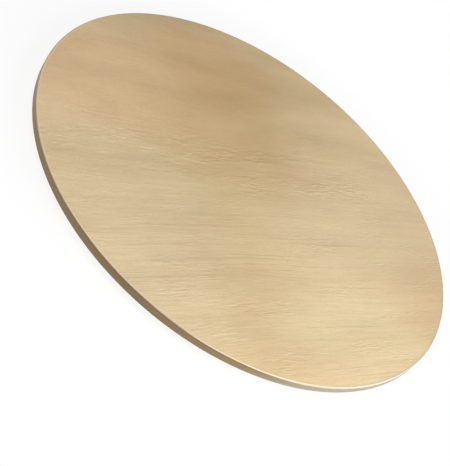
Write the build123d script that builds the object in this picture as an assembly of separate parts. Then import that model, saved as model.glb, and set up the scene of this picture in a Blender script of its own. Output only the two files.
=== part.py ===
"""Wooden turntable for a dining table: a veneered round board on a clear moulded ring bearing.

The board is a fibreboard core with a face veneer, a backing veneer and an edge band. Six wood screws hold the
upper race ring to its underside. Loose steel balls in a snap-in cage run between the upper and the lower race
ring. An annular snap hook on the upper ring catches under the lower ring, so that the turntable lifts as one
piece. Soft pads carry the lower ring on the table.

Frame: millimetres, +Z up, origin on the turning axis at table level.
"""

import os

from build123d import *

# Board
BOARD_DIA = 600.0
CORE_THK = 9.0
VENEER_THK = 0.7
EDGE_BAND_THK = 1.0
EDGE_EASE = 0.7  # radius that rounds both arrises of the edge band

# Race rings: radial widths, counted outwards from the bore
RING_BORE_DIA = 300.0
SKIRT_WALL = 1.8
SKIRT_GAP = 0.4  # running gap between the skirt and the lower ring
HOOK_REACH = 1.2
HOOK_SIDE_GAP = 0.4
INNER_BORDER = 2.6
HOLE_MARGIN = 0.5
TRACK_OFFSET = 9.0  # from the screw circle to the ball circle
TRACK_MARGIN = 5.5  # from the ball circle to the outer border
OUTER_BORDER = 4.5
LIP_WIDTH = 3.0

# Race rings: heights
PLATE_THK = 3.2
GROOVE_DEPTH = 1.2
CHANNEL_DEPTH = 0.5  # shallow channel in the underside of the lower ring
LIP_GAP = 0.8  # open slit between the two rings at the outer edge
HOOK_THK = 1.0
HOOK_PLAY = 0.3
HOOK_SETBACK = 0.3  # hook stays this far above the underside of the lower ring
HOOK_LEAD = 0.5  # lead-in chamfers that let the hook snap past the ledge
RING_EASE = 0.7  # radius on the outer moulded edges

# Balls and cage
BALL_DIA = 5.0
BALL_COUNT = 24
BALL_PLAY = 0.05  # between a ball and the floor of either groove
GROOVE_EASE = 0.5  # groove radius over ball radius
CAGE_WIDTH = 8.0
CAGE_THK = 1.5
POCKET_PLAY = 0.15

# Screws
SCREW_COUNT = 6
SCREW_DIA = 3.5
SCREW_HEAD_DIA = 7.0
SCREW_HEAD_RIM = 0.3
SCREW_COVER = 4.4  # board left between a screw's tip and the top face
SCREW_TIP = 2.0  # length of the pointed end
SCREW_FIT = 0.05  # clearance of the shank in the board and of the head on its seat
SCREW_PLATE_GAP = 0.25  # clearance of the shank in the upper ring
HEAD_SETBACK = 0.2  # head stays this far inside the upper ring
CROSS_WIDTH = 0.9
CROSS_LENGTH = 3.6
CROSS_DEPTH = 1.1
ACCESS_HOLE_DIA = 9.0  # holes in the lower ring that let the screwdriver through

# Pads
PAD_COUNT = 6
PAD_DIA = 11.0
PAD_PROUD = 1.4  # pad height below the lower ring
PAD_SEAT = 0.6  # depth of the pad's pocket in the channel floor
PAD_FIT = 0.1
PAD_EASE = 0.5

# Radii that follow from the widths
bore_r = RING_BORE_DIA / 2
skirt_r = bore_r + SKIRT_WALL
ledge_r = skirt_r + SKIRT_GAP
hook_r = skirt_r + HOOK_REACH
hook_recess_r = hook_r + HOOK_SIDE_GAP
channel_in_r = hook_recess_r + INNER_BORDER
screw_circle_r = channel_in_r + HOLE_MARGIN + ACCESS_HOLE_DIA / 2
pad_circle_r = channel_in_r + HOLE_MARGIN + PAD_DIA / 2
ball_circle_r = screw_circle_r + TRACK_OFFSET
channel_out_r = ball_circle_r + TRACK_MARGIN
ring_r = channel_out_r + OUTER_BORDER
lip_r = ring_r - LIP_WIDTH
ball_r = BALL_DIA / 2
groove_r = ball_r + GROOVE_EASE
board_r = BOARD_DIA / 2
core_r = board_r - EDGE_BAND_THK

# Heights that follow, from the table up
lower_bottom = PAD_PROUD
lower_top = lower_bottom + PLATE_THK
channel_z = lower_bottom + CHANNEL_DEPTH
pad_top = channel_z + PAD_SEAT
ball_z = lower_top - GROOVE_DEPTH + BALL_PLAY + ball_r
upper_bottom = ball_z + ball_r + BALL_PLAY - GROOVE_DEPTH
upper_top = upper_bottom + PLATE_THK
slit_z = (lower_top + upper_bottom) / 2
hook_bottom = lower_bottom + HOOK_SETBACK
hook_top = hook_bottom + HOOK_THK
ledge_z = hook_top + HOOK_PLAY
backing_top = upper_top + VENEER_THK
core_top = backing_top + CORE_THK
board_top = core_top + VENEER_THK
screw_face = upper_bottom + HEAD_SETBACK
head_cone_top = screw_face + SCREW_HEAD_RIM + (SCREW_HEAD_DIA - SCREW_DIA) / 2
screw_end = board_top - SCREW_COVER


def section(r_in, r_out, z_low, z_high):
    """Rectangle in the half plane of radius and height."""
    middle = Pos((r_in + r_out) / 2, (z_low + z_high) / 2)
    return middle * Rectangle(r_out - r_in, z_high - z_low)


def turned(profile):
    """Full revolution of a radius and height profile about the turning axis."""
    return revolve(Plane.XZ * profile, Axis.Z)


def disc(radius, z_low, z_high):
    """Round sheet between two heights."""
    return Pos(0, 0, z_low) * Cylinder(
        radius, z_high - z_low, align=(Align.CENTER, Align.CENTER, Align.MIN)
    )


def ring_edges(shape, radius, height):
    """Circular edges about the turning axis at one radius and height."""
    reach = 1e-3

    def lies_there(edge):
        middle = edge.center(CenterOf.BOUNDING_BOX)
        return (
            abs(edge.radius - radius) < reach
            and abs(middle.Z - height) < reach
            and abs(middle.X) < reach
            and abs(middle.Y) < reach
        )

    return shape.edges().filter_by(GeomType.CIRCLE).filter_by(lies_there)


def screw_places(z):
    """Screw axes at one height, the first on +X."""
    return [Pos(0, 0, z) * place for place in PolarLocations(screw_circle_r, SCREW_COUNT)]


def pad_places():
    """Pad axes at table level, half a step round from the access holes."""
    half_step = 180 / PAD_COUNT
    return PolarLocations(pad_circle_r, PAD_COUNT, start_angle=half_step)


def ball_places():
    """Ball centres at rest, half a step round from the first screw."""
    half_step = 180 / BALL_COUNT
    circle = PolarLocations(ball_circle_r, BALL_COUNT, start_angle=half_step)
    return [Pos(0, 0, ball_z) * place for place in circle]


def pilot_holes():
    """Holes for the screws' shanks in the board, from its underside upwards."""
    hole = disc(SCREW_DIA / 2 + SCREW_FIT, 0, screw_end + SCREW_FIT - upper_top)
    return [place * hole for place in screw_places(upper_top)]


def board_core():
    return disc(core_r, backing_top, core_top) - pilot_holes()


def top_veneer():
    return disc(core_r, core_top, board_top)


def backing_veneer():
    return disc(core_r, upper_top, backing_top) - pilot_holes()


def edge_band():
    """Band glued round the board, flush with both veneers, with rounded arrises."""
    band = turned(section(core_r, board_r, upper_top, board_top))
    arrises = ring_edges(band, board_r, upper_top) + ring_edges(band, board_r, board_top)
    return fillet(arrises, EDGE_EASE)


def race_groove(floor_z, side):
    """Section of a ball groove whose floor is at one height; side is +1 for a groove that opens upwards."""
    return Pos(ball_circle_r, floor_z + side * groove_r) * Circle(groove_r)


def upper_race_ring():
    """Race plate with a ball groove, an outer lip, and an inner skirt that ends in the snap hook."""
    lip_end = slit_z + LIP_GAP / 2
    profile = section(bore_r, ring_r, upper_bottom, upper_top)
    profile += section(lip_r, ring_r, lip_end, upper_bottom)
    profile += section(bore_r, skirt_r, hook_bottom, upper_bottom)
    profile += section(bore_r, hook_r, hook_bottom, hook_top)
    profile -= race_groove(upper_bottom + GROOVE_DEPTH, -1)
    ring = turned(profile)
    ring = fillet(ring_edges(ring, ring_r, lip_end), min(RING_EASE, LIP_WIDTH / 3))
    ring = chamfer(ring_edges(ring, hook_r, hook_bottom), min(HOOK_LEAD, HOOK_THK / 2))

    shank_hole = Cylinder(SCREW_DIA / 2 + SCREW_PLATE_GAP, 2 * PLATE_THK)
    shank_holes = [place * shank_hole for place in screw_places(upper_top)]
    return ring - shank_holes - [place * screw_seat() for place in screw_places(screw_face)]


def screw_seat():
    """Countersink for a screw's head, from its driven face upwards, open towards the balls."""
    head_r = SCREW_HEAD_DIA / 2 + SCREW_FIT
    shank_r = SCREW_DIA / 2 + SCREW_FIT
    cone = Pos(0, 0, SCREW_HEAD_RIM) * Cone(
        head_r, shank_r, head_r - shank_r, align=(Align.CENTER, Align.CENTER, Align.MIN)
    )
    mouth = Pos(0, 0, SCREW_HEAD_RIM) * Cylinder(
        head_r, SCREW_HEAD_RIM + HEAD_SETBACK, align=(Align.CENTER, Align.CENTER, Align.MAX)
    )
    return cone + mouth


def lower_race_ring():
    """Race plate with a ball groove, an outer lip, a ledge for the snap hook, access holes and pad pockets."""
    lip_end = slit_z - LIP_GAP / 2
    profile = section(ledge_r, ring_r, lower_bottom, lower_top)
    profile += section(lip_r, ring_r, lower_top, lip_end)
    profile -= section(ledge_r, hook_recess_r, lower_bottom, ledge_z)
    profile -= section(channel_in_r, channel_out_r, lower_bottom, channel_z)
    profile -= race_groove(lower_top - GROOVE_DEPTH, 1)
    ring = turned(profile)
    outer_edges = ring_edges(ring, ring_r, lower_bottom) + ring_edges(ring, ring_r, lip_end)
    ring = fillet(outer_edges, min(RING_EASE, LIP_WIDTH / 3))
    ring = chamfer(ring_edges(ring, ledge_r, lower_top), HOOK_LEAD)

    access_hole = Cylinder(ACCESS_HOLE_DIA / 2, 4 * PLATE_THK)
    pad_pocket = disc(PAD_DIA / 2 + PAD_FIT, lower_bottom, pad_top)
    access_holes = [place * access_hole for place in screw_places(lower_bottom)]
    return ring - access_holes - [place * pad_pocket for place in pad_places()]


def ball_cage():
    """Flat ring that snaps over the balls: each pocket is part of a sphere just larger than the ball."""
    half_width = CAGE_WIDTH / 2
    flat = turned(
        section(
            ball_circle_r - half_width,
            ball_circle_r + half_width,
            ball_z - CAGE_THK / 2,
            ball_z + CAGE_THK / 2,
        )
    )
    return flat - [place * Sphere(ball_r + POCKET_PLAY) for place in ball_places()]


def mounting_screw():
    """Countersunk wood screw, driven face at the origin, pointing up, with a cross recess."""
    shank_r = SCREW_DIA / 2
    head_r = SCREW_HEAD_DIA / 2
    cone_top = head_cone_top - screw_face
    length = screw_end - screw_face
    outline = Polyline(
        (0, 0),
        (head_r, 0),
        (head_r, SCREW_HEAD_RIM),
        (shank_r, cone_top),
        (shank_r, length - SCREW_TIP),
        (0, length),
        close=True,
    )
    slot = Box(CROSS_LENGTH, CROSS_WIDTH, 2 * CROSS_DEPTH)
    return turned(make_face(outline)) - [slot, Rot(0, 0, 90) * slot]


def foot_pad():
    """Round pad that stands on the table, with its lower edge rounded."""
    pad = disc(PAD_DIA / 2, 0, pad_top)
    return fillet(ring_edges(pad, PAD_DIA / 2, 0), PAD_EASE)


def numbered(name, places, shape):
    """One copy of a shape at each place, under numbered names."""
    return {f"{name}_{n:02d}": place * shape for n, place in enumerate(places, start=1)}


def main():
    screws = [place * mounting_screw() for place in screw_places(screw_face)]
    pieces = {
        "board_core": board_core(),
        "top_veneer": top_veneer(),
        "backing_veneer": backing_veneer(),
        "edge_band": edge_band(),
        "upper_race_ring": upper_race_ring(),
        "lower_race_ring": lower_race_ring(),
        "ball_cage": ball_cage(),
        "mounting_screws": Compound(screws),
        **numbered("bearing_ball", ball_places(), Sphere(ball_r)),
        **numbered("foot_pad", pad_places(), foot_pad()),
    }
    os.makedirs("parts", exist_ok=True)
    for name, shape in pieces.items():
        export_step(shape, f"parts/{name}.step")
    print(f"{len(pieces)} nodes, ring {2 * ring_r:.1f} across, total height {board_top:.2f}")


main()
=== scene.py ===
"""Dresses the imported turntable: a veneered board on a milky ring bearing with balls, screws and soft pads.

Lengths are metres in the frame of the model: +Z up, origin on the turning axis at table level, the grain of
the face veneer along X. The camera stands where the photograph was taken from, and keeps its roll. On the
board, far is +Y, near is -Y, left is -X and right is +X, as the photograph shows its face.
"""

import math

import bmesh
import bpy
import numpy as np
from mathutils import Matrix, Vector


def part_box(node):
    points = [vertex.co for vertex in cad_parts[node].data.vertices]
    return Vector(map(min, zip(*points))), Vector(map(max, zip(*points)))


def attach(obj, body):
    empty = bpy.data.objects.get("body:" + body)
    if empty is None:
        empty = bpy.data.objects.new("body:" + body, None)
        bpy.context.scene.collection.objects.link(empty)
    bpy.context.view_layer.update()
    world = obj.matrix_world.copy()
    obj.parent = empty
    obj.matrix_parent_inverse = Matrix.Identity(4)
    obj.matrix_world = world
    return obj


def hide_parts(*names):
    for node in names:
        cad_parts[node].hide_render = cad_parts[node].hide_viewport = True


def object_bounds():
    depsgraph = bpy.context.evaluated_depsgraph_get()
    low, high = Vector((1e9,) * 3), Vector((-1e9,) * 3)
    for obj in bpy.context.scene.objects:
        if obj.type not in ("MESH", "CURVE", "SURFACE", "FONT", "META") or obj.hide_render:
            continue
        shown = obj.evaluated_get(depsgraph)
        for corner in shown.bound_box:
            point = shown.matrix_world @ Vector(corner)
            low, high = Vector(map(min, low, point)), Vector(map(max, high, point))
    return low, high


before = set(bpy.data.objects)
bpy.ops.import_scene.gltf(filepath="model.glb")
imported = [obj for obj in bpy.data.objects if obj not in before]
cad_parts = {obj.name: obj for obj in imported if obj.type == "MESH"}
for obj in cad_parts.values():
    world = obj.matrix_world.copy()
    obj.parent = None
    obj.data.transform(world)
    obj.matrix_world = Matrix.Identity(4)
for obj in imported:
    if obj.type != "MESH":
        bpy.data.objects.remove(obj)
cad_low, cad_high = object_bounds()

MM = 0.001
BOARD_R = (cad_high.x - cad_low.x) / 2
TOP_Z = cad_high.z
BOARD_LOW_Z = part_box("backing_veneer")[0].z

# Camera: angles about the centre of the top face, then the turn of the camera itself
VIEW_AZIMUTH = math.radians(-52.0)
VIEW_ELEVATION = math.radians(33.67)
VIEW_ROLL = math.radians(-40.26)
VIEW_PAN = math.radians(-1.98)
VIEW_TILT = math.radians(3.21)
VIEW_DISTANCE = 4.0 * BOARD_R
LENS_MM = 72.85

# Level directions as the camera sees them
TO_CAMERA = np.array([math.sin(VIEW_AZIMUTH), -math.cos(VIEW_AZIMUTH), 0.0])
TO_RIGHT = np.array([math.cos(VIEW_AZIMUTH), math.sin(VIEW_AZIMUTH), 0.0])

# Screws, as in the model
SCREW_COUNT = 6
SCREW_CIRCLE_R = 161.0 * MM
SHANK_R = 1.75 * MM
HEAD_R = 3.5 * MM
HEAD_RIM = 0.3 * MM
TIP_LENGTH = 2.0 * MM
CROSS_WIDTH = 0.9 * MM
CROSS_LENGTH = 3.6 * MM
CROSS_DEPTH = 1.1 * MM
# Screw thread and eased edges, which the model leaves plain
ROOT_R = 1.2 * MM
NECK = 0.5 * MM
PITCH = 1.6 * MM
RIDGE_SLOPE = 3.0  # per turn: a ridge ends a third of a turn from its crest
HEAD_EASE_R = 0.105 * MM
HEAD_EASE_Z = 0.04 * MM
CROSS_SIDE_SLOPE = 0.1 * MM
CROSS_END_SLOPE = 0.4 * MM

# Race rings, as in the model: radii from the bore outwards, then heights
BORE_R = 150.0 * MM
SKIRT_R = 151.8 * MM
LEDGE_R = 152.2 * MM
HOOK_R = 153.0 * MM
RECESS_R = 153.4 * MM
CHANNEL_IN_R = 156.0 * MM
TRACK_R = 170.0 * MM
CHANNEL_OUT_R = 175.5 * MM
LIP_R = 177.0 * MM
RING_R = 180.0 * MM
RING_EASE = 0.7 * MM
LEAD_IN = 0.5 * MM
HOOK_TOP_Z = 2.7 * MM
LEDGE_Z = 3.0 * MM
CHANNEL_Z = 1.9 * MM
POCKET_Z = 2.5 * MM
LOWER_TOP_Z = 4.6 * MM
UPPER_LOW_Z = 7.3 * MM
BALL_Z = (LOWER_TOP_Z + UPPER_LOW_Z) / 2
GROOVE_R = 3.0 * MM
GROOVE_LIFT = 0.45 * MM  # from the balls' centres to the middle of each groove's arc
ACCESS_R = 4.5 * MM
POCKET_R = 5.6 * MM
SEAT_R = 3.55 * MM
SEAT_RIM_Z = 7.8 * MM
SHANK_HOLE_R = 2.0 * MM
DRILL_PAST = 1.6 * MM  # how far a drill goes beyond the face that it leaves

# Pads, as in the model, with grip rings moulded into the face that stands on the table
PAD_COUNT = 6
PAD_CIRCLE_R = 162.0 * MM
PAD_R = 5.5 * MM
PAD_EASE = 0.5 * MM
GRIP_RINGS = 3
GRIP_DEPTH = 0.35 * MM
GRIP_PLAIN = 0.2  # share of the foot's radius that stays flat in its middle

# Meshes
RING_COLUMNS = 480
HOLE_COLUMNS = 48
ARC_POINTS = 25
MERGE = 1e-7
SHARP_ANGLE = math.radians(35)

SHADER = "Principled BSDF"


class Value:
    """A socket in an expression: an operation on it adds a Math node to its tree."""

    def __init__(self, nodes, socket):
        self.nodes = nodes
        self.socket = socket

    def math(self, operation, *others):
        return self.nodes.add("ShaderNodeMath", {"operation": operation}, dict(enumerate((self, *others))))

    def __add__(self, other):
        return self.math("ADD", other)

    __radd__ = __add__

    def __mul__(self, other):
        return self.math("MULTIPLY", other)

    __rmul__ = __mul__

    def __sub__(self, other):
        return self.math("SUBTRACT", other)

    def __rsub__(self, other):
        return self.math("MULTIPLY", -1.0) + other

    def __truediv__(self, other):
        return self.math("DIVIDE", other)

    def rise(self, low, high):
        """0 up to low and 1 from high on, with a smooth step between; a low above high makes it fall."""
        inputs = {"Value": self, "From Min": low, "From Max": high}
        return self.nodes.add("ShaderNodeMapRange", {"interpolation_type": "SMOOTHSTEP"}, inputs)

    def near(self, middle, reach):
        """1 at the middle value, falling smoothly to 0 at that reach to either side."""
        return (self - middle).math("ABSOLUTE").rise(reach, 0.0)


class Nodes:
    """The node tree of a material or of the world."""

    def __init__(self, owner):
        owner.use_nodes = True
        self.tree = owner.node_tree

    def add(self, kind, settings=None, inputs=None, output=0):
        """One node: its settings come first, then its inputs are set or linked. Gives one of its outputs."""
        node = self.tree.nodes.new(kind)
        for name, value in (settings or {}).items():
            if name == "stops":
                self.set_stops(node.color_ramp.elements, value)
            else:
                setattr(node, name, value)
        for name, value in (inputs or {}).items():
            if isinstance(value, Value):
                self.tree.links.new(value.socket, node.inputs[name])
            else:
                node.inputs[name].default_value = value
        return Value(self, node.outputs[output])

    def set_stops(self, elements, stops):
        while len(elements) < len(stops):
            elements.new(1.0)
        for element, (place, colour) in zip(elements, stops):
            element.position = place
            element.color = (*colour, 1.0)

    def link(self, value, node_name, socket_name):
        self.tree.links.new(value.socket, self.tree.nodes[node_name].inputs[socket_name])


class Finish(Nodes):
    """A material with one Principled shader, drawn on Object coordinates in millimetres."""

    def __init__(self, name, **constants):
        self.material = bpy.data.materials.new(name)
        super().__init__(self.material)
        shader = self.tree.nodes[SHADER]
        for key, value in constants.items():
            shader.inputs[key.replace("_", " ")].default_value = value
        place = self.add("ShaderNodeTexCoord", output="Object")
        scaled = self.add("ShaderNodeVectorMath", {"operation": "SCALE"}, {0: place, "Scale": 1 / MM})
        self.x, self.y, self.z = (
            self.add("ShaderNodeSeparateXYZ", inputs={0: scaled}, output=axis) for axis in range(3)
        )

    def noise(self, x, y, z, detail=1.0):
        """Noise about 0.5 whose cells are one unit wide in each of the coordinates given.

        Where z is a fixed number it is a layer of the noise, and figures on two layers don't look alike.
        """
        place = self.add("ShaderNodeCombineXYZ", inputs={0: x, 1: y, 2: z})
        return self.add("ShaderNodeTexNoise", inputs={"Vector": place, "Scale": 1.0, "Detail": detail})

    def speckle(self, size, detail=2.0):
        """Noise with cells of that size in all directions."""
        return self.noise(self.x / size, self.y / size, self.z / size, detail)

    def radius(self):
        return (self.x * self.x + self.y * self.y).math("SQRT")

    def zone(self, x, y, half_length, half_width):
        """1 in the middle of an ellipse at that place, falling smoothly to 0 at its edge."""
        u, v = (self.x - x) / half_length, (self.y - y) / half_width
        return (u * u + v * v).rise(1.0, 0.0)

    def ramp(self, value, *stops):
        return self.add("ShaderNodeValToRGB", {"stops": stops}, {0: value})

    def shades(self, tone, dark, middle, light):
        """The dark colour at a tone of 0, the middle one at a half and the light one at 1."""
        return self.ramp(tone, (0.0, dark), (0.5, middle), (1.0, light))

    def blend(self, share, first, second):
        """The first colour, with that share of the second laid over it."""
        first, second = (c if isinstance(c, Value) else (*c, 1.0) for c in (first, second))
        return self.add("ShaderNodeMix", {"data_type": "RGBA"}, {0: share, 6: first, 7: second}, 2)

    def feed(self, **values):
        for key, value in values.items():
            self.link(value, SHADER, key.replace("_", " "))

    def relief(self, height, depth):
        """Bump whose heights 0 and 1 lie that depth apart."""
        inputs = {"Strength": 1.0, "Distance": depth, "Height": height}
        self.feed(Normal=self.add("ShaderNodeBump", inputs=inputs))


class Veneer(Finish):
    """Wood with its grain along X. Its figure follows lines of equal flow, which is Y until it is bent."""

    def __init__(self, name):
        super().__init__(name, IOR=1.45)
        self.flow = self.y

    def figure(self, length, width, layer, shift=0.0, detail=1.0):
        """Noise drawn out along the grain: cells of that length and width in millimetres."""
        return self.noise(self.x / length, (self.flow + shift) / width, layer, detail)

    def curl(self, length, width, layer, lift):
        """Short ridges of figure, each painted with a lit side and a shaded side.

        It is the figure a lift above each point less the figure a lift below it.
        """
        return self.figure(length, width, layer, lift) - self.figure(length, width, layer, -lift)


def wrap_columns(points):
    """Quads between neighbouring rows and columns of a block of grids, where each row closes into a ring."""
    copies, rows, columns = points.shape[:3]
    index = np.arange(copies * rows * columns).reshape(copies, rows, columns)
    after = np.roll(index, -1, axis=2)
    return np.stack([index[:, :-1], after[:, :-1], after[:, 1:], index[:, 1:]], axis=-1).reshape(-1, 4)


def closed_mesh(name, points):
    """Mesh of grids whose rows close into rings and whose ends meet, facing outwards.

    The points have four axes: copies of the grid, its rows, its columns, and X, Y and Z.
    """
    mesh = bpy.data.meshes.new(name)
    mesh.from_pydata(points.reshape(-1, 3).tolist(), [], wrap_columns(points).tolist())
    shell = bmesh.new()
    shell.from_mesh(mesh)
    bmesh.ops.remove_doubles(shell, verts=shell.verts, dist=MERGE)
    bmesh.ops.recalc_face_normals(shell, faces=shell.faces)
    shell.to_mesh(mesh)
    shell.free()
    return mesh


def drilled(mesh, *holes):
    """The mesh with the closed shapes of holes taken out of it."""
    body = bpy.data.objects.new(mesh.name, mesh)
    bpy.context.scene.collection.objects.link(body)
    drills = [bpy.data.objects.new("drill", hole) for hole in holes]
    for drill in drills:
        bpy.context.scene.collection.objects.link(drill)
        cut = body.modifiers.new("hole", "BOOLEAN")
        cut.operation, cut.solver, cut.object = "DIFFERENCE", "EXACT", drill
    result = bpy.data.meshes.new_from_object(body.evaluated_get(bpy.context.evaluated_depsgraph_get()))
    for used in (body, *drills):
        bpy.data.objects.remove(used)
    return result


def piece(name, mesh, body, nodes, material):
    """A mesh that rides on a body in place of nodes of the model, smooth but for its sharp edges."""
    mesh.shade_smooth()
    mesh.set_sharp_from_angle(angle=SHARP_ANGLE)
    mesh.materials.clear()
    mesh.materials.append(material)
    made = bpy.data.objects.new(name, mesh)
    bpy.context.scene.collection.objects.link(made)
    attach(made, body)
    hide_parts(*nodes)


def turned(profile, columns):
    """Full turn of a radius and height profile about the Z axis: one row of the grid for each of its points.

    The columns start half a step round from X, so that those of a ring and of a hole through it don't meet.
    """
    angle = (np.arange(columns) + 0.5) * 2 * np.pi / columns
    r, z = profile[:, :1], profile[:, 1:]
    return np.stack([r * np.cos(angle), r * np.sin(angle), z + 0 * angle], axis=-1)


def arc(r, z, radius, start, end):
    """Points on an arc about one radius and height, between two angles in degrees from straight outwards."""
    angle = np.radians(np.linspace(start, end, ARC_POINTS))
    return np.stack([r + radius * np.cos(angle), z + radius * np.sin(angle)], axis=-1)


def circle_of(points, count, radius, first_turn):
    """Copies of a grid of points on a circle about the turning axis, each turned to face it.

    Each is shifted by the radius along X. Copy k is then turned by the first turn plus k equal steps.
    """
    turn = first_turn + np.arange(count) * 2 * np.pi / count
    c, s = np.cos(turn)[:, None, None], np.sin(turn)[:, None, None]
    x, y, z = points[..., 0] + radius, points[..., 1], points[..., 2]
    return np.stack([c * x - s * y, s * x + c * y, z + 0 * c], axis=-1)


def cross_recess(x, y):
    """Depth of the driver's cross at points of a screw's face.

    A point is in an arm where it is nearer to the arm's axis than half the width and nearer to the middle
    than half the length. Over the width of a slope, the depth goes evenly from none to all of it.
    """

    def arm(along, across):
        inside_width = np.clip((CROSS_WIDTH / 2 - np.abs(across)) / CROSS_SIDE_SLOPE + 0.5, 0, 1)
        inside_length = np.clip((CROSS_LENGTH / 2 - np.abs(along)) / CROSS_END_SLOPE + 0.5, 0, 1)
        return inside_width * inside_length

    return CROSS_DEPTH * np.maximum(arm(x, y), arm(y, x))


def screw_grid():
    """One screw about the origin, pointing up, as rings from the middle of the driven face to the tip.

    On the face, a ring has the height of the cross recess. On the side, a ring at height z has the radius of
    the head's rim and cone, then the root's. The thread adds a ridge: 1 on a helix that climbs one pitch per
    turn, less the slope times the distance from it in turns. Over the tip all radii shrink evenly to a point.
    """
    low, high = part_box("mounting_screws")
    length = high.z - low.z
    cone_end = HEAD_RIM + HEAD_R - SHANK_R
    thread_start = cone_end + NECK
    columns, face_rows, cone_rows, thread_rows = 60, 36, 8, 110
    angle = np.linspace(0, 2 * np.pi, columns, endpoint=False)

    r = np.linspace(0, HEAD_R - HEAD_EASE_R, face_rows)[:, None]
    x, y = r * np.cos(angle), r * np.sin(angle)
    face = np.stack([x, y, cross_recess(x, y)], axis=-1)

    cone_heights = np.linspace(HEAD_RIM, cone_end, cone_rows + 1)[1:]
    thread_heights = np.linspace(cone_end, length, thread_rows + 1)[1:]
    z = np.concatenate([[HEAD_EASE_Z, HEAD_RIM], cone_heights, thread_heights])[:, None]
    plain_r = np.interp(z, [HEAD_RIM, cone_end, thread_start], [HEAD_R, SHANK_R, ROOT_R])
    turns = z / PITCH - angle / (2 * np.pi)
    ridge = np.clip(1 - RIDGE_SLOPE * np.abs(turns - np.round(turns)), 0, 1)
    run_in = np.clip((z - thread_start) / PITCH, 0, 1)
    taper = np.clip((length - z) / TIP_LENGTH, 0, 1)
    r = (plain_r + (SHANK_R - ROOT_R) * ridge * run_in) * taper
    side = np.stack([r * np.cos(angle), r * np.sin(angle), z + 0 * angle], axis=-1)
    return np.concatenate([face, side]) + [0, 0, low.z]


def pad_grid():
    """One pad about the origin: a turned profile from the middle of its foot, round the edge, to its top's.

    On the foot, outside its plain middle, the height is the grip's depth times the square of a sine that has
    one arch per grip ring. Then a quarter circle rounds the edge, and the side and the flat top follow.
    """
    low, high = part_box("foot_pad_01")
    columns, foot_rows, ease_rows = 64, 40, 8
    flat_r = PAD_R - PAD_EASE
    foot_r = np.linspace(0, flat_r, foot_rows)
    ringed = np.clip(foot_r / flat_r - GRIP_PLAIN, 0, None) / (1 - GRIP_PLAIN)
    arch = np.sin(np.pi * GRIP_RINGS * ringed) ** 2
    bend = np.linspace(0, np.pi / 2, ease_rows)[1:]
    r = np.concatenate([foot_r, flat_r + PAD_EASE * np.sin(bend), [PAD_R, 0]])
    z = np.concatenate([GRIP_DEPTH * arch, PAD_EASE * (1 - np.cos(bend)), [high.z - low.z] * 2])
    return turned(np.stack([r, z + low.z], axis=-1), columns)


def hole_mesh(profile, count, circle_r, first_turn):
    """Closed turned shapes of holes, one for each place on a circle about the turning axis."""
    hole = turned(np.array(profile), HOLE_COLUMNS)
    return closed_mesh("holes", circle_of(hole, count, circle_r, first_turn))


def groove_arc(middle_z, edge_z):
    """The ball groove's arc from its outer to its inner edge, which lie on the ring's flat at that height."""
    edge = math.degrees(math.asin((edge_z - middle_z) / GROOVE_R))
    far_edge = math.copysign(180, edge) - edge
    return arc(TRACK_R, middle_z, GROOVE_R, edge, far_edge)


def lower_ring():
    """Lower race ring: a turned profile with the ball groove on top, less access holes and pad pockets.

    The profile starts at the ledge for the snap hook, goes along the underside with its shallow channel, up
    the outer wall with its two eased edges, and back over the lip, the groove and the lead-in of the ledge.
    """
    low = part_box("lower_race_ring")[0].z
    lip_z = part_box("lower_race_ring")[1].z
    eased_r = RING_R - RING_EASE
    profile = np.concatenate([
        [(LEDGE_R, LEDGE_Z), (RECESS_R, LEDGE_Z), (RECESS_R, low), (CHANNEL_IN_R, low)],
        [(CHANNEL_IN_R, CHANNEL_Z), (CHANNEL_OUT_R, CHANNEL_Z), (CHANNEL_OUT_R, low)],
        arc(eased_r, low + RING_EASE, RING_EASE, -90, 0),
        arc(eased_r, lip_z - RING_EASE, RING_EASE, 0, 90),
        [(LIP_R, lip_z), (LIP_R, LOWER_TOP_Z)],
        groove_arc(BALL_Z + GROOVE_LIFT, LOWER_TOP_Z),
        [(LEDGE_R + LEAD_IN, LOWER_TOP_Z), (LEDGE_R, LOWER_TOP_Z - LEAD_IN), (LEDGE_R, LEDGE_Z)],
    ])
    access = [(0, 0), (ACCESS_R, 0), (ACCESS_R, BALL_Z), (0, BALL_Z)]
    pocket = [(0, 0), (POCKET_R, 0), (POCKET_R, POCKET_Z), (0, POCKET_Z)]
    return drilled(
        closed_mesh("lower_ring", turned(profile, RING_COLUMNS)[None]),
        hole_mesh(access, SCREW_COUNT, SCREW_CIRCLE_R, 0.0),
        hole_mesh(pocket, PAD_COUNT, PAD_CIRCLE_R, np.pi / PAD_COUNT),
    )


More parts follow.
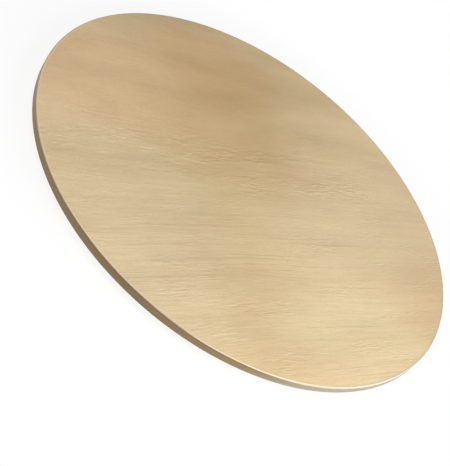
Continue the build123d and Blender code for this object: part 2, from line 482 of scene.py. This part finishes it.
def upper_ring():
    """Upper race ring: a turned profile with the ball groove underneath, less the countersunk screw holes.

    The profile starts at the bore, goes along the board, down the outer wall to the eased lip, back over the
    groove to the skirt, and down the skirt to the snap hook with its lead-in.
    """
    low, high = (corner.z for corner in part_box("upper_race_ring"))
    lip_z = 2 * BALL_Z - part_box("lower_race_ring")[1].z
    profile = np.concatenate([
        [(BORE_R, high), (RING_R, high)],
        arc(RING_R - RING_EASE, lip_z + RING_EASE, RING_EASE, 0, -90),
        [(LIP_R, lip_z), (LIP_R, UPPER_LOW_Z)],
        groove_arc(BALL_Z - GROOVE_LIFT, UPPER_LOW_Z),
        [(SKIRT_R, UPPER_LOW_Z), (SKIRT_R, HOOK_TOP_Z), (HOOK_R, HOOK_TOP_Z), (HOOK_R, low + LEAD_IN)],
        [(HOOK_R - LEAD_IN, low), (BORE_R, low), (BORE_R, high)],
    ])
    cone_end_z = SEAT_RIM_Z + SEAT_R - SHANK_HOLE_R
    above = high + DRILL_PAST
    seat = [(0, BALL_Z), (SEAT_R, BALL_Z), (SEAT_R, SEAT_RIM_Z)]
    seat += [(SHANK_HOLE_R, cone_end_z), (SHANK_HOLE_R, above), (0, above)]
    return drilled(
        closed_mesh("upper_ring", turned(profile, RING_COLUMNS)[None]),
        hole_mesh(seat, SCREW_COUNT, SCREW_CIRCLE_R, 0.0),
    )


def bend_face_grain(wood, near):
    """Bends the flow: a lean on the far half, a long sway, ripples, and a wiggle where the curls are."""
    lean = wood.y.rise(20, 190) * 0.10
    sway = (wood.noise(wood.x / 320, wood.y / 150, 1.0) - 0.5) * 22
    ripple = (wood.noise(wood.x / 45, wood.y / 22, 2.0) - 0.5) * (6 - near * 5)
    wiggle = (wood.noise(wood.x / 14, wood.y / 9, 16.0) - 0.5) * 3.5 * wood.y.near(10, 100)
    wood.flow = wood.y + wood.x * lean + sway + ripple + wiggle


def face_curls(wood):
    """Short curly figure in bunches, in a band across the middle that fades out towards both ends."""
    across = (wood.flow + wood.x * 0.06).near(14, 80)
    along = wood.x.rise(250, 140) * (wood.x.rise(-260, -40) * 0.65 + 0.35)
    bunches = wood.figure(75, 20, 18.5, -6, detail=2.0).rise(0.40, 0.64)
    curls = wood.curl(11, 2.6, 6.0, 0.6) + wood.curl(20, 3.6, 7.0, 0.8) * 0.9
    return curls * bunches * (across * along * 0.9 + 0.1)


def face_flecks(wood):
    """Painted highlights: the lit sides of short ridges, in loose groups, in the left part of the curly band.
    """
    groups = wood.figure(55, 16, 22.0).rise(0.42, 0.58) * wood.zone(-150, 44, 160, 50)
    return wood.curl(15, 3.0, 17.0, 0.8).rise(0.05, 0.20) * groups


def face_hatch(wood, far, near):
    """Fine short strokes along the grain, strongest at the left of the near half."""
    near_share = near * wood.x.rise(260, -160) * 0.7
    far_share = (0.35 - far * 0.2) * (wood.x.rise(280, 120) * 0.6 + 0.4)
    return (wood.figure(45, 1.7, 8.0) - 0.5) * (near_share + far_share)


def face_colour(wood, tone):
    """Straw-coloured wood that follows the tone, with patches laid over it one by one.

    The heart patches on the far half are partly other wood and partly painted shade.
    """

    def toned(red, green, blue):
        """The colour at the middle tone. Its dark end is warmer, and its light end cooler."""
        dark = (red * 0.72, green * 0.68, blue * 0.61)
        light = (red * 1.26, green * 1.31, blue * 1.43)
        return wood.shades(tone, dark, (red, green, blue), light)

    # The darker, redder heart patches on the far half are partly the wood's tone and partly painted shade.
    patches = {
        "heart": (wood.zone(45, 105, 215, 175) * 0.7, (0.562, 0.37, 0.151)),
        "red heart": (wood.zone(0, 210, 150, 120) * 0.5, (0.61, 0.36, 0.14)),
        "far left": (wood.zone(-215, 165, 190, 165) * 0.75, (0.745, 0.51, 0.265)),
        "left sapwood": (wood.zone(-260, -105, 210, 260) * 0.6, (0.60, 0.48, 0.305)),
        "right sapwood": (wood.zone(210, 60, 180, 160) * 0.55, (0.665, 0.505, 0.265)),
        "near right": (wood.zone(250, -200, 135, 120) * 0.8, (0.55, 0.38, 0.175)),
        "near brown": (wood.zone(-85, -205, 90, 90) * 0.4, (0.53, 0.38, 0.195)),
        "near pale": (wood.zone(25, -240, 150, 100) * 0.5, (0.655, 0.52, 0.295)),
        "middle pale": (wood.zone(75, -85, 140, 90) * 0.5, (0.67, 0.505, 0.27)),
        "pink veins": (wood.figure(110, 60, 11.0).rise(0.45, 0.6) * 0.2, (0.61, 0.425, 0.235)),
    }
    base = toned(0.61, 0.449, 0.226)
    for share, colour in patches.values():
        base = wood.blend(share, base, toned(*colour))
    return base


def face_veneer():
    """Quiet straight-grained veneer: soft tone clouds, a band of short curls, long fine lines and pores.

    The far half is cloudy, darker and redder, partly the wood's own tone and partly painted shade; the near
    half straight and finely lined, and the sapwood to both sides is paler. A thin line along the rim carries
    a painted highlight at the left, and is grey from the middle to the right.
    """
    pore_brown, line_grey, highlight_pale = (0.32, 0.21, 0.10), (0.40, 0.345, 0.27), (0.71, 0.57, 0.43)
    rim = BOARD_R / MM
    wood = Veneer("face_veneer")
    figure, curl = wood.figure, wood.curl
    far, near = wood.y.rise(-10, 130), wood.y.rise(40, -110)
    bend_face_grain(wood, near)

    clouds = (figure(170, 55, 3.0, detail=3.0) - 0.5) * (far * 0.25 + 0.7)
    streaks = figure(380, 6, 4.0, detail=2.0) - 0.5
    smudges = figure(80, 13, 13.0, detail=2.0).rise(0.42, 0.72) * wood.zone(10, 30, 220, 60)
    lines = figure(340, 2.2, 9.0).rise(0.60, 0.74) * (near * wood.x.rise(200, 20) * 0.85 + 0.15)
    ticks = curl(13, 2.3, 12.0, 0.6) * figure(70, 30, 14.0).rise(0.50, 0.62) * (near * 0.85 + 0.15)
    fibres = figure(18, 0.36, 15.0, detail=3.0) - 0.5
    pores = figure(5, 0.32, 10.0, detail=0.0).rise(0.62, 0.72)
    curls = face_curls(wood)
    fine = curls * 1.25 + ticks * 0.85 + face_hatch(wood, far, near) * 0.5 + face_flecks(wood) * 0.35
    soft = clouds + streaks * (0.3 - far * 0.15) - smudges * 0.16 - lines * 0.36

    base = face_colour(wood, soft + fine + fibres * 0.8 + 0.54)
    base = wood.blend(pores * 0.3, base, pore_brown)
    grey_line = wood.radius().rise(rim - 4.5, rim - 1.5) * wood.x.rise(-140, 20)
    base = wood.blend(grey_line * 0.4, base, line_grey)
    # Painted highlight: a thin pale line along the rim at the left, standing in for the arris catching the
    # light.
    edge_highlight = wood.radius().near(rim - 1.8, 2.4) * wood.x.rise(-130, -220)
    base = wood.blend(edge_highlight * 0.5, base, highlight_pale)
    wood.feed(Base_Color=base, Roughness=streaks * 0.12 - curls * 0.2 + 0.42)
    wood.relief(fine * 0.4 + fibres * 0.6 - pores * 0.6 + 0.6, depth=0.05 * MM)
    return wood.material


def backing_veneer():
    """Plainer veneer, laid the same way: brown heartwood at the far side, paler, pinker wood at the near."""
    pore_brown = (0.26, 0.16, 0.09)
    wood = Veneer("backing_veneer")
    wood.flow = wood.y + (wood.noise(wood.x / 260, wood.y / 140, 21.0) - 0.5) * 40
    clouds = wood.figure(210, 50, 22.0, detail=2.0) - 0.5
    streaks = wood.figure(220, 7, 23.0, detail=3.0) - 0.5
    hatch = wood.figure(50, 1.5, 24.0, detail=2.0) - 0.5
    curls = wood.curl(15, 3.2, 26.0, 0.8) * wood.figure(100, 45, 27.0).rise(0.42, 0.6)
    fibres = wood.figure(18, 0.36, 28.0, detail=3.0) - 0.5
    pores = wood.figure(6, 0.34, 25.0, detail=0.0).rise(0.62, 0.74)
    tone = clouds * 1.1 + streaks * 0.35 + hatch * 0.4 + curls * 0.8 + fibres * 0.6 + 0.5
    brown = wood.shades(tone, (0.335, 0.22, 0.105), (0.465, 0.318, 0.168), (0.58, 0.42, 0.245))
    pale = wood.shades(tone, (0.45, 0.32, 0.19), (0.60, 0.445, 0.28), (0.71, 0.55, 0.37))
    base = wood.blend(wood.flow.rise(200, -220), brown, pale)
    base = wood.blend(pores * 0.3, base, pore_brown)
    wood.feed(Base_Color=base, Roughness=streaks * 0.15 + 0.5)
    wood.relief(hatch * 0.3 + curls * 0.4 + fibres * 0.4 - pores * 0.5 + 0.6, depth=0.06 * MM)
    return wood.material


def edge_band():
    """Strip glued round the rim: grain along the strip, painted paler at the near side where the light falls,
    and its ends' butt joint.

    The upper arris has a painted highlight, strongest at the near side, and painted shade at the left. A dark
    line runs below it, and a painted shade line along the eased lower edge.
    """
    high_line, low_shade_line, highlight_cream = (0.20, 0.14, 0.07), (0.18, 0.13, 0.075), (0.90, 0.76, 0.56)
    shade_brown, pore_brown, joint_brown = (0.15, 0.105, 0.06), (0.18, 0.12, 0.06), (0.12, 0.08, 0.04)
    low, high = BOARD_LOW_Z / MM, TOP_Z / MM
    strip = Finish("edge_band", IOR=1.45)
    along = strip.y.math("ARCTAN2", strip.x) * (BOARD_R / MM)
    clouds = strip.noise(along / 120, strip.z / 9, 31.0, detail=2.0) - 0.5
    streaks = strip.noise(along / 90, strip.z / 1.1, 32.0, detail=3.0) - 0.5
    pores = strip.noise(along / 7, strip.z / 0.35, 33.0, detail=0.0).rise(0.64, 0.78)
    tone = clouds * 0.8 + streaks * 1.1 + 0.5
    brown = strip.shades(tone, (0.28, 0.185, 0.08), (0.40, 0.275, 0.13), (0.53, 0.385, 0.21))
    pale = strip.shades(tone, (0.40, 0.315, 0.205), (0.53, 0.44, 0.315), (0.65, 0.56, 0.43))
    # Painted light: the rim is paler at the near side, where the light falls, and the arris highlight reaches
    # lower there.
    front = strip.zone(-10, -300, 150, 150)
    base = strip.blend(front, brown, pale)
    base = strip.blend(strip.z.near(high - 1.7, 0.9) * 0.6, base, high_line)
    # Painted shade: a dark line along the eased lower edge.
    base = strip.blend(strip.z.rise(low + 1.4, low + 0.3) * 0.6, base, low_shade_line)
    # Painted highlight on the upper arris: faint all round, strongest at the near side.
    highlight_spread = strip.y.rise(-150, -280) * strip.x.rise(190, 40)
    arris_highlight = (strip.z + front * 1.7).rise(high - 1.0, high - 0.4) * (highlight_spread * 0.8 + 0.2)
    base = strip.blend(arris_highlight, base, highlight_cream)
    # Painted shade on the upper arris at the left.
    arris_shade = strip.zone(-265, -140, 125, 125) * strip.z.rise(high - 1.0, high - 0.3)
    base = strip.blend(arris_shade * 0.8, base, shade_brown)
    base = strip.blend(pores * 0.25, base, pore_brown)
    joint = along.near(200, 0.35)
    base = strip.blend(joint * 0.8, base, joint_brown)
    strip.feed(Base_Color=base, Roughness=streaks * 0.2 + 0.5)
    strip.relief(streaks * 0.5 - pores * 0.3 - joint + 0.7, depth=0.08 * MM)
    return strip.material


def fibreboard():
    """Pressed brown fibres, in lighter and darker clumps."""
    board = Finish("fibreboard")
    fibres = board.speckle(0.5, detail=3.0)
    clumps = board.speckle(4.0)
    base = board.ramp(fibres * 0.7 + clumps * 0.3, (0.3, (0.27, 0.18, 0.10)), (0.7, (0.45, 0.33, 0.20)))
    board.feed(Base_Color=base, Roughness=fibres * 0.12 + 0.8)
    board.relief(fibres, depth=0.06 * MM)
    return board.material


def ring_plastic():
    """Milky clear moulding: faint flow clouds and turning marks, and a clearer thin wall over the balls."""
    plastic = Finish(
        "ring_plastic",
        IOR=1.46,
        Subsurface_Weight=0.35,
        Subsurface_Scale=3 * MM,
        Subsurface_Radius=(1.0, 0.95, 0.8),
    )
    thin_grey = (0.78, 0.78, 0.68)
    radius = plastic.radius()
    clouds = plastic.speckle(40) - 0.5
    marks = plastic.noise(radius / 0.35, plastic.z / 0.35, 41.0) - 0.5
    thin = radius.near(TRACK_R / MM, 7.0).rise(0.0, 0.6)
    base = plastic.ramp(clouds * 0.5 + 0.5, (0.3, (0.86, 0.83, 0.70)), (0.7, (0.91, 0.89, 0.78)))
    base = plastic.blend(thin * 0.3, base, thin_grey)
    see_through = clouds * 0.1 - thin * 0.48 + 0.84
    plastic.feed(Base_Color=base, Roughness=marks * 0.1 + clouds * 0.1 + 0.3, Alpha=see_through)
    plastic.relief(marks + 0.5, depth=0.006 * MM)
    return plastic.material


def cage_plastic():
    """Opaque white nylon with a fine matt grain."""
    nylon = Finish("cage_plastic", IOR=1.5)
    grain = nylon.speckle(0.4)
    clouds = nylon.speckle(14)
    base = nylon.ramp(clouds, (0.35, (0.62, 0.62, 0.58)), (0.65, (0.72, 0.72, 0.68)))
    nylon.feed(Base_Color=base, Roughness=grain * 0.2 + 0.4)
    nylon.relief(grain, depth=0.015 * MM)
    return nylon.material


def ball_steel():
    """Polished bearing steel with the faintest lapping marks."""
    steel = Finish("ball_steel", Metallic=1.0)
    marks = steel.speckle(0.25, detail=3.0)
    base = steel.ramp(marks, (0.3, (0.55, 0.55, 0.56)), (0.7, (0.68, 0.68, 0.69)))
    steel.feed(Base_Color=base, Roughness=marks * 0.12 + 0.08)
    return steel.material


def screw_zinc():
    """Bright zinc plating: fine crystals, with a duller film in patches."""
    film_yellow = (0.50, 0.47, 0.40)
    zinc = Finish("screw_zinc", Metallic=1.0)
    crystals = zinc.speckle(0.12, detail=3.0)
    film = zinc.speckle(1.4).rise(0.5, 0.65)
    base = zinc.ramp(crystals, (0.3, (0.50, 0.51, 0.52)), (0.7, (0.66, 0.67, 0.68)))
    base = zinc.blend(film * 0.3, base, film_yellow)
    zinc.feed(Base_Color=base, Roughness=crystals * 0.15 + film * 0.1 + 0.25)
    zinc.relief(crystals, depth=0.006 * MM)
    return zinc.material


def pad_silicone():
    """Cloudy clear silicone with a fine moulded grain, and dust in the hollows between its grip rings."""
    dust_grey = (0.38, 0.36, 0.32)
    soft = Finish("pad_silicone", IOR=1.41, Subsurface_Weight=0.3, Subsurface_Scale=2 * MM)
    clouds = soft.speckle(6.0)
    grain = soft.speckle(0.2)
    dust = soft.speckle(0.5, detail=3.0).rise(0.52, 0.70) * soft.z.rise(0.05, 0.35)
    base = soft.ramp(clouds, (0.35, (0.60, 0.60, 0.56)), (0.65, (0.70, 0.70, 0.66)))
    base = soft.blend(dust * 0.3, base, dust_grey)
    soft.feed(Base_Color=base, Roughness=grain * 0.2 + dust * 0.15 + 0.4, Alpha=clouds * 0.2 + 0.7)
    soft.relief(grain, depth=0.02 * MM)
    return soft.material


def cover(name, material):
    """Puts a finish on a node of the model."""
    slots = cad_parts[name].data.materials
    slots.clear()
    slots.append(material)


def dress_board():
    """Finishes of the wooden nodes."""
    cover("top_veneer", face_veneer())
    cover("backing_veneer", backing_veneer())
    cover("edge_band", edge_band())
    cover("board_core", fibreboard())


def dress_bearing():
    """Finishes of the cage and the balls, the smoothly turned rings, and the detailed screws and pads.

    A weld on each ball drops the faces without area at its two poles.
    """
    plastic = ring_plastic()
    piece("turned_upper_ring", upper_ring(), "platter", ["upper_race_ring"], plastic)
    piece("turned_lower_ring", lower_ring(), "base", ["lower_race_ring"], plastic)
    cover("ball_cage", cage_plastic())
    steel = ball_steel()
    for name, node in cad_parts.items():
        if name.startswith("bearing_ball"):
            cover(name, steel)
            node.modifiers.new("closed_poles", "WELD").merge_threshold = MERGE
    screws = closed_mesh("screws", circle_of(screw_grid(), SCREW_COUNT, SCREW_CIRCLE_R, 0.0))
    piece("threaded_screws", screws, "platter", ["mounting_screws"], screw_zinc())
    silicone = pad_silicone()
    pads = circle_of(pad_grid(), PAD_COUNT, PAD_CIRCLE_R, np.pi / PAD_COUNT)
    for number, points in enumerate(pads, start=1):
        pad = f"{number:02d}"
        mesh = closed_mesh("pad", points[None])
        piece(f"soft_pad_{pad}", mesh, "base", [f"foot_pad_{pad}"], silicone)


def place_camera():
    """Stands off the top face at the view's azimuth and elevation, then rolls, pans and tilts."""
    away = TO_CAMERA * math.cos(VIEW_ELEVATION) + [0, 0, math.sin(VIEW_ELEVATION)]
    axes = np.stack([TO_RIGHT, np.cross(away, TO_RIGHT), away])
    for angle, axis in ((VIEW_ROLL, "Z"), (VIEW_PAN, "Y"), (VIEW_TILT, "X")):
        axes = np.array(Matrix.Rotation(angle, 3, axis)) @ axes
    lens = bpy.data.cameras.new("photo_view")
    lens.lens = LENS_MM
    camera = bpy.data.objects.new("photo_view", lens)
    stand = Vector(away * VIEW_DISTANCE + [0, 0, TOP_Z])
    camera.matrix_world = Matrix.Translation(stand) @ Matrix(axes.T.tolist()).to_4x4()
    bpy.context.scene.collection.objects.link(camera)
    bpy.context.scene.camera = camera


def seen_white(nodes):
    """1 for rays from the camera, a reflection or a see-through surface, 0 for rays that light the object."""
    camera, glossy, through = (
        nodes.add("ShaderNodeLightPath", output=name)
        for name in ("Is Camera Ray", "Is Glossy Ray", "Is Transmission Ray")
    )
    return camera.math("MAXIMUM", glossy).math("MAXIMUM", through)


def lay_floor():
    """White floor that keeps a faint shadow round the object, and that a camera below looks through."""
    half, drop = 6.0, 0.1 * MM
    near_white, fade_from, fade_to, pale = 0.86, 0.31, 0.46, 0.95
    corners = [(-half, -half, -drop), (half, -half, -drop), (half, half, -drop), (-half, half, -drop)]
    sheet = bpy.data.meshes.new("floor")
    sheet.from_pydata(corners, [], [(0, 1, 2, 3)])
    paint = bpy.data.materials.new("floor")
    nodes = Nodes(paint)
    place = nodes.add("ShaderNodeTexCoord", output="Object")
    reach = nodes.add("ShaderNodeVectorMath", {"operation": "LENGTH"}, {0: place}, "Value")
    white_share = reach.rise(fade_from, fade_to) * (1 - near_white) + near_white
    matt = nodes.add("ShaderNodeBsdfDiffuse", inputs={"Color": (pale, pale, pale, 1.0)})
    glow = nodes.add("ShaderNodeEmission", inputs={"Strength": seen_white(nodes)})
    front = nodes.add("ShaderNodeMixShader", inputs={0: white_share, 1: matt, 2: glow})
    below = nodes.add("ShaderNodeNewGeometry", output="Backfacing")
    clear = nodes.add("ShaderNodeBsdfTransparent")
    both = nodes.add("ShaderNodeMixShader", inputs={0: below, 1: front, 2: clear})
    nodes.link(both, "Material Output", "Surface")
    sheet.materials.append(paint)
    floor = bpy.data.objects.new("floor", sheet)
    floor.visible_shadow = False
    floor.visible_diffuse = False
    bpy.context.scene.collection.objects.link(floor)


def light_world():
    """White wherever it is seen; as light, an even sky above the horizon and the floor's return below it."""
    sky_level, floor_level, horizon = 0.20, 0.40, 0.05
    world = bpy.data.worlds.new("studio")
    bpy.context.scene.world = world
    nodes = Nodes(world)
    direction = nodes.add("ShaderNodeTexCoord", output="Generated")
    height = nodes.add("ShaderNodeSeparateXYZ", inputs={0: direction}, output="Z")
    level = height.rise(-horizon, horizon) * (sky_level - floor_level) + floor_level
    nodes.link(level.math("MAXIMUM", seen_white(nodes)), "Background", "Strength")
    nodes.tree.nodes["Background"].inputs["Color"].default_value = (1.0, 1.0, 1.0, 1.0)


def panel(name, right, near, height, size, power):
    """Square area lamp over the board, facing down, or under it, facing up.

    Right and near are distances as the camera sees them.
    """
    lamp = bpy.data.lights.new(name, "AREA")
    lamp.size = size
    lamp.energy = power
    stand = Matrix.Translation(Vector(TO_RIGHT * right + TO_CAMERA * near + [0, 0, height]))
    box = bpy.data.objects.new(name, lamp)
    box.matrix_world = stand if height > 0 else stand @ Matrix.Rotation(math.pi, 4, "X")
    bpy.context.scene.collection.objects.link(box)


def light_lamps():
    """Four panels overhead, the strongest at the camera's right, and one below that lights the underside."""
    over, wide = 0.6, 0.5
    under, narrow = -1.2, 0.4
    panel("right_panel", 0.8, 0.5, over, wide, power=11.0)
    panel("near_panel", -0.2, 0.5, over, wide, power=2.6)
    panel("far_panel", 0.3, -0.7, over, wide, power=2.9)
    panel("far_left_panel", -0.7, -0.7, over, wide, power=1.5)
    panel("under_panel", 0.0, 0.0, under, narrow, power=10.0)


dress_board()
dress_bearing()
place_camera()
lay_floor()
light_world()
light_lamps()
bpy.context.scene.view_settings.view_transform = "Standard"
